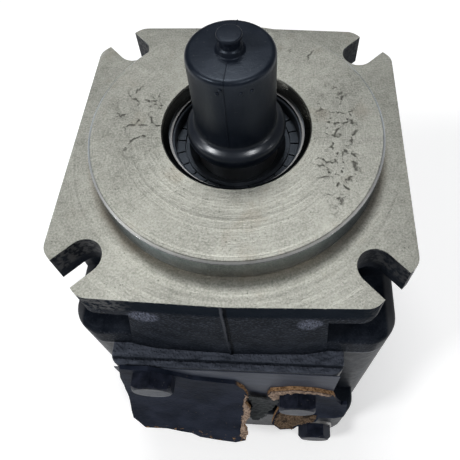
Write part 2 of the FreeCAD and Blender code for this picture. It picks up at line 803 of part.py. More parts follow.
def jointSeals():
    for name, joint, up in (("front", jointFront, 1), ("rear", jointRear, -1)):
        keep(name + "_o_ring", ringGroove(name + "_o_ring", joint, up))
        keep(name + "_plate_seal", plateGroove(name + "_plate_seal", joint, up))


def dowels():
    for name, joint in (("front_dowels", jointFront), ("rear_dowels", jointRear)):
        keep(name, group(name, *dowelHoles(name, joint)))


# Long socket screws from the rear cover into the front cover.
def housingBolts():
    seat = rearFace + size.counterDepth
    end = jointFront + size.boltHold
    screws = []
    for i, (x, y) in enumerate(boltSpots, 1):
        name = "housing_bolt_%d" % i
        shank = cylinder(name + "_shank", size.boltRadius, (seat, end), x, y)
        head = cylinder(name + "_head", size.boltHeadRadius, (seat - size.boltHeadHeight, seat), x, y)
        socket = doc.addObject("Part::Prism", name + "_socket")
        socket.Polygon = 6
        bind(socket, Circumradius=size.boltSocketHalf / math.cos(math.pi / 6), Height=size.boltSocketDepth)
        place(socket, x, y, seat - size.boltHeadHeight)
        screws.append(cut(name, fuse(name + "_blank", shank, head), socket))
    keep("housing_bolts", group("housing_bolts", *screws))


# Radial shaft seal: an outer rim, a ring of moulded ribs and the lip, with a garter spring.
def shaftSeal():
    rim = sealRadius - size.sealRimWidth
    lip = collarRadius + size.lipPlay
    edge = sealTop - size.lipEdgeDrop
    floor = sealTop - size.sealFloorDrop
    lipTop = sealTop - size.lipDrop
    springRing = collarRadius + size.springWidth
    blank = turned("shaft_seal_blank", [
        (rim, sealBottom), (sealRadius, sealBottom), (sealRadius, sealTop),
        (rim + 0.4, sealTop), (rim, sealTop - 0.4), (rim, floor),
        (collarRadius + size.lipOuterWidth, floor), (collarRadius + size.lipOuterWidth, lipTop),
        (collarRadius + size.lipInnerWidth, lipTop), (lip, edge), (lip + 1, edge - 1),
        (springRing, edge - 1), (sealRoomRadius - 1, sealBottom)])
    ribs = turned("shaft_seal_ribs", [
        (rim - size.ribWidth, floor - 0.1), (rim, floor - 0.1),
        (rim, sealTop - size.ribDrop), (rim - size.ribWidth, sealTop - size.ribDrop)])
    count = int(float(size.ribCount))
    gaps = []
    for i in range(count):
        gap = box("shaft_seal_gap_%d" % i, (0, sealRadius), (-size.ribSlot / 2, size.ribSlot / 2),
                  (floor + 0.1, sealTop))
        angle = 2 * math.pi * i / count
        gap.Placement.Rotation = FreeCAD.Rotation(FreeCAD.Vector(0, 0, 1), math.degrees(angle))
        place(gap, size.ribSlot / 2 * math.sin(angle), -(size.ribSlot / 2 * math.cos(angle)),
              floor + 0.1)
        gaps.append(gap)
    ribbed = cut("shaft_seal_ribbed", ribs, *gaps)
    rubber = fuse("shaft_seal_rubber", blank, ribbed)
    level = edge - 1 - size.springRadius
    keep("shaft_seal", cut("shaft_seal", rubber, springTorus("shaft_seal_spring_room", springRing, level)))
    keep("seal_spring", springTorus("seal_spring", springRing, level))


def springTorus(name, radius, level):
    thing = doc.addObject("Part::Torus", name)
    bind(thing, Radius1=radius, Radius2=size.springRadius)
    return place(thing, 0, 0, level)


# Retaining ring in its groove, open at the back, with an eared end on each side of the gap.
def retainingRing():
    z = sealTop + 0.05, sealTop + 0.05 + size.retainThick
    outer = retainGrooveRadius - size.retainPlay
    band = cylinder("retaining_ring_band", outer, z)
    room = cylinder("retaining_ring_room", retainInner, (z[0] - 1, z[1] + 1))
    opening = box("retaining_ring_gap", (-size.retainGap / 2, size.retainGap / 2),
                  (0, retainGrooveRadius), (z[0] - 1, z[1] + 1))
    band = cut("retaining_ring_open", cut("retaining_ring_hoop", band, room), opening)
    ears = []
    for side in (-1, 1):
        name = "retaining_ring_ear_%d" % (side + 1)
        spot = (size.retainGap / 2 + size.retainEar / 2) * side
        reach = retainInner - size.retainEarInset
        lug = cylinder(name, size.retainEar / 2 + 0.4, z, spot, reach)
        hole = cylinder(name + "_hole", 1, (z[0] - 1, z[1] + 1), spot, reach)
        ears.append(cut(name + "_lug", lug, hole))
    keep("seal_retaining_ring", fuse("seal_retaining_ring", band, *ears))


# Picks the circular edges of a turned shape at any of the given (radius, height) corners.
def rims(*corners):
    def test(edge):
        spot = middle(edge)
        return near(edge.BoundBox.ZLength, 0) and any(
            near(spot.z, z) and near(math.hypot(spot.x, spot.y), r) for r, z in corners)
    return test


# Rubber cap over the spline and the shaft's collar, with a mushroom nub to pull it by.
def shaftCap():
    inner = splineRadius + size.capPlay
    outer = inner + size.capWall
    baseInner = collarRadius + size.capPlay
    baseOuter = baseInner + size.capBaseWall
    step = collarTop + size.capPlay
    shoulder = step + size.capShoulder
    nub, waist = size.capNubRadius, size.capNubWaist
    nubFoot = capTop + size.capNubFoot
    nubTop = capTop + size.capNubHeight
    disc = nubTop - size.capNubDisc
    cap = turned("shaft_cap_blank", [
        (baseInner, capFoot), (baseOuter, capFoot), (baseOuter, shoulder), (outer, shoulder),
        (outer, capTop), (nub, capTop), (nub, nubFoot), (waist, nubFoot), (waist, disc), (nub, disc),
        (nub, nubTop), (0, nubTop), (0, shaftReach + size.capPlay), (inner, shaftReach + size.capPlay),
        (inner, step), (baseInner, step)])
    cap = soften("shaft_cap_shoulder", cap, size.capShoulderRound, rims((baseOuter, shoulder)))
    cap = soften("shaft_cap_neck", cap, size.capShoulderFoot, rims((outer, shoulder)))
    cap = soften("shaft_cap_top", cap, size.capEdge, rims((outer, capTop)))
    keep("shaft_cap", soften("shaft_cap", cap, size.capNubRound,
                             rims((nub, nubTop), (nub, disc), (nub, nubFoot), (nub, capTop))))


# Hex screws of the port cover: corner up at the upper left, flat up at the lower right.
def hexScrew(name, flats, headHeight, seat, shankRadius, shankLength, x, z, cornerUp):
    end = seat - headHeight
    hexagon = crossHexagon(name + "_hex", flats, (end, seat), x, z, cornerUp)
    inner, outer = flats * 0.95, flats / math.cos(math.pi / 6) + 2
    slope = crossCone(name + "_chamfer", (inner, outer), (end, end + outer - inner), x, z)
    sleeve = crossCylinder(name + "_sleeve", outer, (end + outer - inner, seat), x, z)
    head = common(name + "_head", hexagon, fuse(name + "_limit", slope, sleeve))
    shank = crossCylinder(name + "_shank", shankRadius, (seat, seat + shankLength), x, z)
    return fuse(name, head, shank)


def coverBolts():
    seat = -(padFront + size.sheetThick + size.boardThick)
    wide, high = size.suctionHalfWide, size.suctionHalfHigh
    screws = []
    for i, side in enumerate((-1, 1), 1):
        screws.append(hexScrew("port_cover_bolt_%d" % i, size.coverHeadFlats, size.coverHeadHeight, seat,
                               size.coverBoltRadius, size.coverBoltLength, size.padCentre + wide * side,
                               portLevel - high * side, True))
    keep("port_cover_bolts", group("port_cover_bolts", *screws))


# Thin sheet under the board. It closes the port and was painted over with the castings.
def blankingSheet():
    depth = -(padFront + size.sheetThick), -padFront
    face = box("blanking_sheet_face", (size.padCentre - padHalf + size.sheetInset,
                                       size.padCentre + padHalf - size.sheetInset), depth,
               (portLevel - portDrop - size.sheetTail, jointFront - size.sheetDrop))
    holes = []
    for side in (-1, 1):
        x = size.padCentre + size.suctionHalfWide * side
        z = portLevel - size.suctionHalfHigh * side
        holes.append(crossCylinder("blanking_sheet_hole_%d" % (side + 1),
                                   size.coverBoltRadius + size.coverBoltPlay,
                                   (depth[0] - 1, depth[1] + 1), x, z))
    keep("port_blanking_sheet", cut("port_blanking_sheet", face, *holes))


# A sheet of board lying on the pad and bent outwards from a given level down. The radius is
# that of its back face.
def bentSheet(start, radius):
    back, thick = -float(padFront + size.sheetThick), float(size.boardThick)
    wide, bend = 2 * float(cornerSum), radius - thick
    flat = Part.makeBox(wide, thick, wide, FreeCAD.Vector(-wide / 2, back - thick, start))
    axis = FreeCAD.Vector(-wide / 2, back - radius, start)
    ring = Part.makeCylinder(radius, wide, axis, FreeCAD.Vector(1, 0, 0))
    ring = ring.cut(Part.makeCylinder(bend, wide, axis, FreeCAD.Vector(1, 0, 0)))
    quarter = Part.makeBox(wide, radius, radius, FreeCAD.Vector(-wide / 2, back - radius, start - radius))
    return flat.fuse(ring.common(quarter)).removeSplitter()


# The board inside a torn outline, given from the centre of the screw that holds it. Its steps are
# about a millimetre: so many of them make half of the screws' distance.
def tornBoard(name, side, start, radius, torn):
    x = float(size.padCentre + size.suctionHalfWide * side)
    z = float(portLevel - size.suctionHalfHigh * side)
    far = -2 * float(cornerSum)
    step = float(size.suctionHalfWide / size.tearSteps)
    points = [FreeCAD.Vector(x + u * step, far, z + v * step) for u, v in torn]
    block = Part.Face(Part.makePolygon(points + points[:1])).extrude(FreeCAD.Vector(0, -far, 0))
    hole = Part.makeCylinder(float(size.coverBoltRadius + size.coverBoltPlay), -far,
                             FreeCAD.Vector(x, far, z), FreeCAD.Vector(0, 1, 0))
    keep(name, shaped(name, bentSheet(start, radius).common(block).cut(hole)))


# What is left of the cover board: a large piece at the left screw and a smaller one at the right
# screw. Both lie flat under the screw's head. The smaller one then bends out over the foot.
def coverBoard():
    corner = float(size.coverHeadFlats) / math.cos(math.pi / 6)
    largeStart = float(portLevel + size.suctionHalfHigh - size.boardCurlStart) - corner
    tornBoard("port_cover_board", -1, largeStart, float(size.boardCurlRadius + size.boardThick), [
        (-14, 13.5), (-9, 12), (-1, 13.5), (8, 6), (18, -3), (28, -6), (38, -9), (42, -20),
        (44, -34), (41.5, -43), (45, -53), (43, -60), (40, -70), (43, -76), (42, -84), (36, -86),
        (27, -85), (15, -83), (10, -80), (4, -79), (-4, -77), (-17, -77), (-23, -68), (-23, -61),
        (-21.5, -43), (-21, -31), (-18, -6)])
    smallStart = float(portLevel - size.suctionHalfHigh - size.scrapCurlStart) - corner
    drop = smallStart - float(jointRear - size.footDrop - size.footEdge)
    rise = float(size.footStep + size.scrapFootGap - size.sheetThick)
    tornBoard("port_cover_scrap", 1, smallStart, (drop ** 2 + rise ** 2) / (2 * rise), [
        (-16, 1), (-14, 13), (-3, 19), (8, 18), (18, 11), (22, -7), (25, -15), (28, -13), (29, -28),
        (28, -32), (23, -34), (14, -34), (13, -37.5), (8, -40), (3, -41.5), (0, -44.5), (-8, -45.5),
        (-13, -41.5), (-12, -36.5), (-9, -25), (-14, -13)])


def gaugePlug():
    seat = -(footFront + size.plugRingThick)
    keep("gauge_plug", hexScrew("gauge_plug", size.plugHeadFlats, size.plugHeadHeight, seat, size.plugRadius,
                                size.plugLength, plugSide, plugLevel, False))
    ring = crossCylinder("gauge_plug_ring_disc", size.plugRingRadius, (seat, -footFront),
                         plugSide, plugLevel)
    room = crossCylinder("gauge_plug_ring_room", size.plugRadius + size.threadPlay,
                         (seat - 1, 1 - footFront), plugSide, plugLevel)
    keep("gauge_plug_ring", cut("gauge_plug_ring", ring, room))


frontCover()
gearHousing()
rearCover()
pinionShaft()
ringGear()
crescent()
sidePlates()
bushings()
jointSeals()
dowels()
housingBolts()
shaftSeal()
retainingRing()
shaftCap()
blankingSheet()
coverBoard()
coverBolts()
gaugePlug()
doc.recompute()

for thing in doc.Objects:
    if "Invalid" in thing.State or "Error" in thing.State:
        raise RuntimeError("%s is %s" % (thing.Name, thing.State))
for piece in pieces:
    if piece.Shape.isNull() or not piece.Shape.isValid() or not piece.Shape.Solids:
        raise RuntimeError("%s has a bad shape" % piece.Label)
os.makedirs("parts", exist_ok=True)
for piece in pieces:
    piece.Shape.exportStep(os.path.join("parts", piece.Label + ".step"))
    print("%-22s %d solids, %.0f mm3" % (piece.Label, len(piece.Shape.Solids), piece.Shape.Volume))
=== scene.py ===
import json
import math
import bpy
from mathutils import Matrix, Vector, noise

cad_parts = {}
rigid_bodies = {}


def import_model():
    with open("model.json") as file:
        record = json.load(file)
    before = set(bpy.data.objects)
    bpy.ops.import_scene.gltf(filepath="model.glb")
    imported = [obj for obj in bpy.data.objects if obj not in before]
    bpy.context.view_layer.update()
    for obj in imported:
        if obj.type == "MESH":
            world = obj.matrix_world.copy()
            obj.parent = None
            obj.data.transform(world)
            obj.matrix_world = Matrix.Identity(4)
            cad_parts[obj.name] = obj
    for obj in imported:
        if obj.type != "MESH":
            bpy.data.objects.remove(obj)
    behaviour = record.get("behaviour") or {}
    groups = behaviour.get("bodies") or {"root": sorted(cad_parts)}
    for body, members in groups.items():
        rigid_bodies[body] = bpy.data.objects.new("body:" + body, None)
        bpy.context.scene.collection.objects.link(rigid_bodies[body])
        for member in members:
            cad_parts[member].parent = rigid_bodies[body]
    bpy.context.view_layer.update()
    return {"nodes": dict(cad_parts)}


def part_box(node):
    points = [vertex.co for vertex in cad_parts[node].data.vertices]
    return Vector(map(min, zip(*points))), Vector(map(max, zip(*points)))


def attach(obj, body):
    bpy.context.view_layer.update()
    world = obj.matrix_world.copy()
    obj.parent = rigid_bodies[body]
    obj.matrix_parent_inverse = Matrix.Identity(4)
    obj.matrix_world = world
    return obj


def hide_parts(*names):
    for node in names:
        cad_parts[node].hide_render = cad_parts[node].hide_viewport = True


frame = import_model()
nodes = frame["nodes"]
mm = 0.001

print("scene: camera")
view = {"azimuth": 4.096, "elevation": 55.11, "roll": -1.824, "distance": 232.088,
        "target": (8.752, -5.826, 0.0), "lens": 41.03, "shift": (-0.0579, -0.1662)}


def placeCamera():
    az, el, roll = (math.radians(view[k]) for k in ("azimuth", "elevation", "roll"))
    back = Vector((math.sin(az) * math.cos(el), -math.cos(az) * math.cos(el), math.sin(el)))
    side = Vector((math.cos(az), math.sin(az), 0))
    up = back.cross(side)
    right = side * math.cos(roll) + up * math.sin(roll)
    top = up * math.cos(roll) - side * math.sin(roll)
    camera = bpy.data.objects.new("camera", bpy.data.cameras.new("camera"))
    bpy.context.scene.collection.objects.link(camera)
    turn = Matrix((right, top, back)).transposed().to_4x4()
    camera.matrix_world = Matrix.Translation((Vector(view["target"]) + back * view["distance"]) * mm) @ turn
    camera.data.sensor_width = 36
    camera.data.lens = view["lens"]
    camera.data.shift_x, camera.data.shift_y = view["shift"]
    camera.data.clip_start = 0.01
    bpy.context.scene.camera = camera


placeCamera()


# A shader value that can be added, multiplied and so on in Python.
class Wire:
    def __init__(self, tree, socket):
        self.tree = tree
        self.socket = socket

    def into(self, target):
        self.tree.links.new(self.socket, target)

    def join(self, operation, *values):
        node = self.tree.nodes.new("ShaderNodeMath")
        node.operation = operation
        for slot, value in zip(node.inputs, values):
            feed(slot, value)
        return Wire(self.tree, node.outputs[0])

    def __add__(self, other):
        return self.join("ADD", self, other)

    def __sub__(self, other):
        return self.join("SUBTRACT", self, other)

    def __rsub__(self, other):
        return self.join("SUBTRACT", other, self)

    def __mul__(self, other):
        return self.join("MULTIPLY", self, other)

    def __truediv__(self, other):
        return self.join("DIVIDE", self, other)

    def __pow__(self, other):
        return self.join("POWER", self, other)

    def __abs__(self):
        return self.join("ABSOLUTE", self)

    __radd__ = __add__
    __rmul__ = __mul__

    def least(self, other):
        return self.join("MINIMUM", self, other)

    def most(self, other):
        return self.join("MAXIMUM", self, other)

    # 0 below low, 1 above high, and smooth between them. With low above high it falls instead.
    def rise(self, low, high):
        node = self.tree.nodes.new("ShaderNodeMapRange")
        node.interpolation_type = "SMOOTHSTEP"
        flip = low > high
        values = self, min(low, high), max(low, high), float(flip), float(not flip)
        for slot, value in zip(node.inputs, values):
            feed(slot, value)
        return Wire(self.tree, node.outputs[0])


def feed(slot, value):
    if isinstance(value, Wire):
        value.into(slot)
    else:
        slot.default_value = value


# A node tree, and short ways to add nodes to it.
class Shading:
    def __init__(self, tree, start="Object"):
        self.tree = tree
        self.place = self.node("ShaderNodeTexCoord")[start]
        self.x, self.y, self.z = self.split(self.place)

    def split(self, vector):
        parts = self.node("ShaderNodeSeparateXYZ", {}, {0: vector})
        return [parts[axis] for axis in "XYZ"]

    # Adds a node: settings first, then inputs by name or number. Returns its outputs by name.
    def node(self, kind, settings=None, inputs=None):
        node = self.tree.nodes.new(kind)
        for key, value in (settings or {}).items():
            setattr(node, key, value)
        for key, value in (inputs or {}).items():
            feed(node.inputs[key], value)
        return {out.name: Wire(self.tree, out) for out in node.outputs if out.enabled}

    # The place with each axis stretched, for grain that runs one way.
    def stretched(self, x=1, y=1, z=1):
        return self.node("ShaderNodeVectorMath", {"operation": "MULTIPLY"},
                         {0: self.place, 1: (x, y, z)})["Vector"]

    # Noise whose largest lumps are about size millimetres across, between 0 and 1.
    def grain(self, size, detail=3, rough=0.55, where=None):
        return self.node("ShaderNodeTexNoise", {}, {
            "Vector": where or self.place, "Scale": 1000 / size, "Detail": detail, "Roughness": rough})["Fac"]

    # The distance inside cells of about size millimetres: to their centres, or to their edges.
    def cells(self, size, feature="F1", where=None):
        return self.node("ShaderNodeTexVoronoi", {"feature": feature},
                         {"Vector": where or self.place, "Scale": 1000 / size})["Distance"]

    def blend(self, factor, first, second):
        node = self.tree.nodes.new("ShaderNodeMix")
        node.data_type = "RGBA"
        for slot, value in ((0, factor), (6, first), (7, second)):
            feed(node.inputs[slot], value)
        return Wire(self.tree, node.outputs[2])

    def bump(self, height, distance, strength=1.0):
        return self.node("ShaderNodeBump", {}, {
            "Height": height, "Distance": distance * mm, "Strength": strength})["Normal"]


# One finish: a material with the Principled shader, and the nodes that drive it.
class Finish(Shading):
    def __init__(self, name, **plain):
        self.material = bpy.data.materials.new(name)
        self.material.use_nodes = True
        super().__init__(self.material.node_tree)
        self.shader = self.tree.nodes["Principled BSDF"]
        self.set(**plain)
        self.facing = self.split(self.node("ShaderNodeTexCoord")["Normal"])

    def set(self, **links):
        for key, value in links.items():
            feed(self.shader.inputs[key.replace("_", " ")], value)
        return self.material


def grey(value, warm=0.0):
    return (value * (1 + warm), value, value * (1 - warm), 1)


# How far a place is from the shaft's axis.
def axisDistance(finish):
    return (finish.x * finish.x + finish.y * finish.y) ** 0.5


# A soft round patch of the given half sizes, 1 inside and 0 outside, about a place in two of the axes.
def patch(along, across, x, y, halfWide, halfHigh, outside=1.5, inside=0.55):
    dx, dy = (along - x * mm) / (halfWide * mm), (across - y * mm) / (halfHigh * mm)
    return (dx * dx + dy * dy).rise(outside, inside)


print("scene: finishes")
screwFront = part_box("port_cover_bolts")[0].y
# Some of these colours are painted light: the wall colour is a painted reflection of the pale floor, the
# shade colour is painted shade under the plate's edge, the glint colour is a painted highlight, and the two
# colours beside the mould seam are a painted highlight and painted shade.
blackPaint = {"dark": (0.0045, 0.0065, 0.0105, 1), "light": (0.034, 0.040, 0.053, 1), "rough": 0.42,
              "wall": (0.060, 0.062, 0.067, 1), "sheen": (0.72, 0.84, 1.0, 1), "worn": (0.13, 0.13, 0.128, 1),
              "shade": (0.0045, 0.0085, 0.0145, 1), "glint": (0.15, 0.165, 0.22, 1),
              "litRidge": (0.085, 0.09, 0.105, 1), "groove": (0.003, 0.004, 0.006, 1),
              "ledge": (0.073, 0.082, 0.106, 1)}
# The bore colour is darker than the face: painted shade in the bore.
turnedFace = {"light": (0.415, 0.415, 0.37, 1), "dark": (0.13, 0.133, 0.115, 1),
              "stain": (0.15, 0.105, 0.06, 1), "pit": (0.045, 0.042, 0.036, 1),
              "bore": (0.10, 0.095, 0.08, 1), "rough": 0.26}
dents = {"cellSize": 8.0, "left": (-42, 3, 11, 19), "right": (43, -8, 9, 32), "back": (28, 44, 6, 5)}
pilot = {"radius": 63.5, "sideTop": 11.0, "bore": 31.8, "boreWall": 30.4, "boreDepth": -14}
# The front casting: its arm's front, its walls, the seam of its mould with a painted highlight and painted
# shade beside it, the band of painted shade under the plate's edge, and where painted highlights mark the
# arm's ends.
cast = {"front": -71, "armTop": -7, "upper": -12, "wall": 70, "wallTop": -19, "litRidge": -2.3, "groove": -0.9,
        "leftWear": (-34, -46), "rightWear": (50, 60), "armEnds": [(-34, -18, 6.5, 6.5), (33, -20, 5.5, 7)]}
# The ledge in front of the joint plane, and the groove that runs along it.
ledgeTop = {"z": -66.3, "depth": 1.2, "line": -78.7}


# Black enamel over a cast skin, coarse where the mould was rough. The smooth walls are painted greyer, a
# painted reflection of the pale floor, and the pebble tops are painted lighter, a painted highlight.
def paintLayer(finish, coarse, wall):
    skin = finish.grain(2.6, 4, 0.6)
    fine = finish.grain(0.7, 3, 0.6)
    pebbles = finish.cells(1.25, "SMOOTH_F1")
    lumps = (pebbles * 1.3).rise(0.65, 0.15)
    # The tops of the pebbles are painted lighter than the rest: a painted highlight, besides their bump.
    tone = finish.grain(9, 3).rise(0.35, 0.7) * 0.3 + coarse * lumps * 0.9 + fine.rise(0.45, 0.75) * 0.25
    colour = finish.blend(tone.least(1.0), blackPaint["dark"], blackPaint["light"])
    # Greyer on the walls: a painted reflection of the pale floor on the smooth side walls.
    colour = finish.blend(wall * (finish.grain(14, 3).rise(0.2, 0.8) * 0.5 + 0.5), colour, blackPaint["wall"])
    rough = finish.grain(3.5, 3) * 0.22 + blackPaint["rough"] - 0.1 + coarse * 0.06
    height = skin * 0.3 + fine * 0.1 + coarse * (lumps * 0.8 + finish.grain(1.2, 3) * 0.5)
    return colour, rough, height


# Machined cast iron: fine turning lines about the shaft, pores, stains and clusters of curved dents, a
# painted highlight on the chamfer at the pilot's top edge and painted shade in the bore.
def turnedLayer(finish):
    radius = axisDistance(finish)
    sideTop = pilot["sideTop"] * mm
    lines = finish.node("ShaderNodeTexNoise", {"noise_dimensions": "1D"},
                        {"W": radius * 1000, "Scale": 2.6, "Detail": 4.0, "Roughness": 0.75})["Fac"]
    cloud = finish.grain(34, 4, 0.6)
    mottle = finish.grain(4.5, 4, 0.6)
    speck = finish.grain(0.85, 3, 0.7)
    pores = finish.cells(1.9).rise(0.22, 0.1) * finish.grain(6, 2).rise(0.5, 0.66)
    swirl = finish.node("ShaderNodeTexNoise", {},
                        {"Vector": finish.place, "Scale": 210.0, "Detail": 2.0})["Color"]
    bent = finish.node("ShaderNodeVectorMath", {"operation": "MULTIPLY_ADD"},
                       {0: swirl, 1: (0.006, 0.006, 0.006), 2: finish.place})["Vector"]
    strokes = finish.cells(dents["cellSize"], "DISTANCE_TO_EDGE", bent).rise(0.105, 0.0)
    broken = finish.grain(3.6, 3, 0.6).rise(0.49, 0.58)
    left, right, back = (patch(finish.x, finish.y, *dents[side]) for side in ("left", "right", "back"))
    where = left.most(right).most(back)
    dent = strokes * broken * (where + 0.06).least(1.0) * finish.z.rise(sideTop, sideTop + 0.6 * mm)
    tone = cloud * 0.3 + mottle * 0.35 + speck * 0.85 + lines * 0.12
    colour = finish.blend(tone.rise(0.46, 1.06), turnedFace["dark"], turnedFace["light"])
    stain = finish.grain(16, 3).rise(0.58, 0.74) * 0.22
    rim = pilot["radius"] * mm
    foot = radius.rise(rim + 4.5 * mm, rim + 0.5 * mm) * finish.z.rise(sideTop, 1 * mm)
    foot = foot * (finish.grain(9, 3) * 0.7 + 0.4)
    colour = finish.blend((stain + foot * 0.45).least(1.0), colour, turnedFace["stain"])
    colour = finish.blend((pores * 0.5 + dent * 0.8).least(0.85), colour, turnedFace["pit"])
    smooth = radius.rise((pilot["bore"] + 0.2) * mm, (pilot["bore"] - 0.2) * mm)
    rough = (speck * 0.22 + mottle * 0.12 + turnedFace["rough"] + dent * 0.15) * (1 - smooth * 0.55)
    height = (lines * 0.8 + speck * 0.25 + mottle * 0.12 - pores * 0.5) * (1 - smooth * 0.7) - dent * 0.8
    side = radius.rise(rim - 0.3 * mm, rim - 0.05 * mm) * radius.rise(rim + 0.5 * mm, rim + 0.2 * mm)
    side = side * finish.z.rise(0.3 * mm, 0.8 * mm)
    # The chamfer at the pilot's top edge is painted lighter: a painted highlight along the edge.
    chamferHighlight = radius.rise(rim - 1.0 * mm, rim - 0.7 * mm) * radius.rise(rim + 0.1 * mm, rim + 0.05 * mm)
    chamferHighlight = chamferHighlight * finish.z.rise(sideTop, sideTop + 0.3 * mm)
    # Inside the bore the metal is painted darker: painted shade in the bore.
    colour = finish.blend(smooth * 0.45, colour, turnedFace["bore"])
    return finish.blend(chamferHighlight * 0.6, colour, grey(0.72)), rough * (1 - side * 0.55), height


def castAndTurned():
    finish = Finish("castAndTurned", Specular_IOR_Level=0.03, Specular_Tint=blackPaint["sheen"])
    onFace = finish.z.rise(-0.35 * mm, -0.1 * mm)
    boreWall, boreDepth = pilot["boreWall"] * mm, pilot["boreDepth"] * mm
    inBore = axisDistance(finish).rise(boreWall + 0.2 * mm, boreWall - 0.2 * mm)
    inBore = inBore * finish.z.rise(boreDepth, boreDepth + 0.2 * mm)
    front = finish.y.rise((cast["front"] + 0.5) * mm, (cast["front"] - 0.5) * mm) * (1 - onFace)
    armFront = front * finish.z.rise(cast["armTop"] * mm, (cast["armTop"] - 7) * mm)
    armFront = armFront * (finish.z.rise(-44 * mm, -26 * mm) * 0.5 + 0.5)
    wall = abs(finish.x).rise((cast["wall"] - 1) * mm, (cast["wall"] + 1) * mm)
    wall = wall * finish.z.rise(cast["wallTop"] * mm, (cast["wallTop"] - 3) * mm)
    paint, paintRough, paintHeight = paintLayer(finish, armFront, wall)
    metal, metalRough, metalHeight = turnedLayer(finish)
    bareEdge = finish.z.rise(-1.5 * mm, -0.4 * mm) * finish.grain(1.6, 3).rise(0.55, 0.66)
    upper = finish.z.rise((cast["upper"] - 2) * mm, (cast["upper"] + 2) * mm)
    leftWear, rightWear = (finish.x.rise(*(x * mm for x in cast[side])) for side in ("leftWear", "rightWear"))
    leftEdge = leftWear * upper * finish.grain(2.2, 3).rise(0.38, 0.6)
    rightEdge = rightWear * upper * finish.grain(2.2, 3).rise(0.4, 0.6)
    # Painted shade: the band of the arm's front just under the plate's edge is painted darker.
    shade = upper * (1 - leftEdge) * front
    paint = finish.blend(shade * 0.7, paint, blackPaint["shade"])
    paint = finish.blend(leftEdge * 0.5 + rightEdge * 0.3, paint, blackPaint["worn"])
    # Painted highlights: bright patches painted on the arm's front where its ends meet the plate.
    for armEnd in cast["armEnds"]:
        glint = patch(finish.x, finish.z, *armEnd, 1.3, 0.4) * front
        glint = glint * finish.grain(1.3, 3, 0.6, finish.stretched(1.6, 1, 0.6)).rise(0.3, 0.7)
        paint = finish.blend(glint, paint, blackPaint["glint"])
    # Beside the mould seam: a lighter line on its left, a painted highlight, and a dark line on its right,
    # painted shade over a shallow dent.
    drift = finish.grain(9, 2) * 1.2 * mm
    litRidge = abs(finish.x - cast["litRidge"] * mm - drift).rise(1.0 * mm, 0.4 * mm) * front
    groove = abs(finish.x - cast["groove"] * mm - drift).rise(0.9 * mm, 0.3 * mm) * front
    paint = finish.blend(litRidge * finish.z.rise(-60 * mm, -18 * mm) * 0.6, paint, blackPaint["litRidge"])
    paint = finish.blend(groove * 0.9, paint, blackPaint["groove"])
    bare = onFace.most(inBore).most(bareEdge * 0.7)
    height = paintHeight * (1 - bare) * 1.3 + metalHeight * bare * 0.22 - groove * 1.2
    return finish.set(
        Base_Color=finish.blend(bare, paint, metal),
        Roughness=bare * metalRough + (1 - bare) * (paintRough + front * 0.15 + shade * 0.35),
        Metallic=bare,
        Normal=finish.bump(height, 0.5))


def castPainted():
    finish = Finish("castPainted", Specular_IOR_Level=0.08, Specular_Tint=blackPaint["sheen"])
    ledge = finish.z.rise((ledgeTop["z"] - ledgeTop["depth"]) * mm, ledgeTop["z"] * mm)
    wall = abs(finish.x).rise((cast["wall"] - 3) * mm, cast["wall"] * mm)
    paint, rough, height = paintLayer(finish, ledge, wall)
    streak = finish.grain(1.8, 3, 0.6, finish.stretched(0.3, 1, 1))
    line = abs(finish.y - ledgeTop["line"] * mm + finish.grain(6, 2) * 0.6 * mm).rise(0.9 * mm, 0.2 * mm)
    paint = finish.blend(ledge * streak.rise(0.1, 0.75), paint, blackPaint["ledge"])
    paint = finish.blend(ledge * line * 0.85, paint, blackPaint["dark"])
    return finish.set(Base_Color=paint, Roughness=rough, Normal=finish.bump(height - ledge * line, 0.5))


# The thin sheet under the torn board, rolled smooth and painted over.
def sheetPaint():
    finish = Finish("sheetPaint", Specular_IOR_Level=0.05, Specular_Tint=blackPaint["sheen"])
    cloud = finish.grain(9, 3, 0.5, finish.stretched(0.4, 1, 1.4))
    colour = finish.blend(cloud.rise(0.3, 0.7), (0.033, 0.038, 0.054, 1), (0.062, 0.071, 0.093, 1))
    colour = finish.blend(finish.grain(1.1, 3).rise(0.66, 0.74) * 0.3, colour, grey(0.12))
    return finish.set(Base_Color=colour, Roughness=cloud * 0.2 + 0.36,
                      Normal=finish.bump(finish.grain(3, 3) * 0.5 + finish.grain(0.9, 2) * 0.2, 0.25))


def steel(name, tone, rough, lineScale):
    finish = Finish(name, Metallic=1.0)
    lines = finish.grain(1.2, 3, 0.6, finish.stretched(0.25, 0.25, lineScale))
    cloud = finish.grain(12, 3)
    colour = finish.blend(lines * 0.5 + cloud * 0.5, grey(tone * 0.75), grey(tone * 1.2, 0.01))
    return finish.set(Base_Color=colour, Roughness=cloud * 0.15 + rough - 0.05,
                      Normal=finish.bump(lines, 0.05, 0.6))


def bronzeFinish():
    finish = Finish("bronze", Metallic=1.0)
    cloud = finish.grain(8, 4)
    colour = finish.blend(cloud.rise(0.3, 0.7), (0.42, 0.25, 0.10, 1), (0.62, 0.42, 0.2, 1))
    return finish.set(Base_Color=colour, Roughness=cloud * 0.2 + 0.28,
                      Normal=finish.bump(finish.grain(0.8), 0.04))


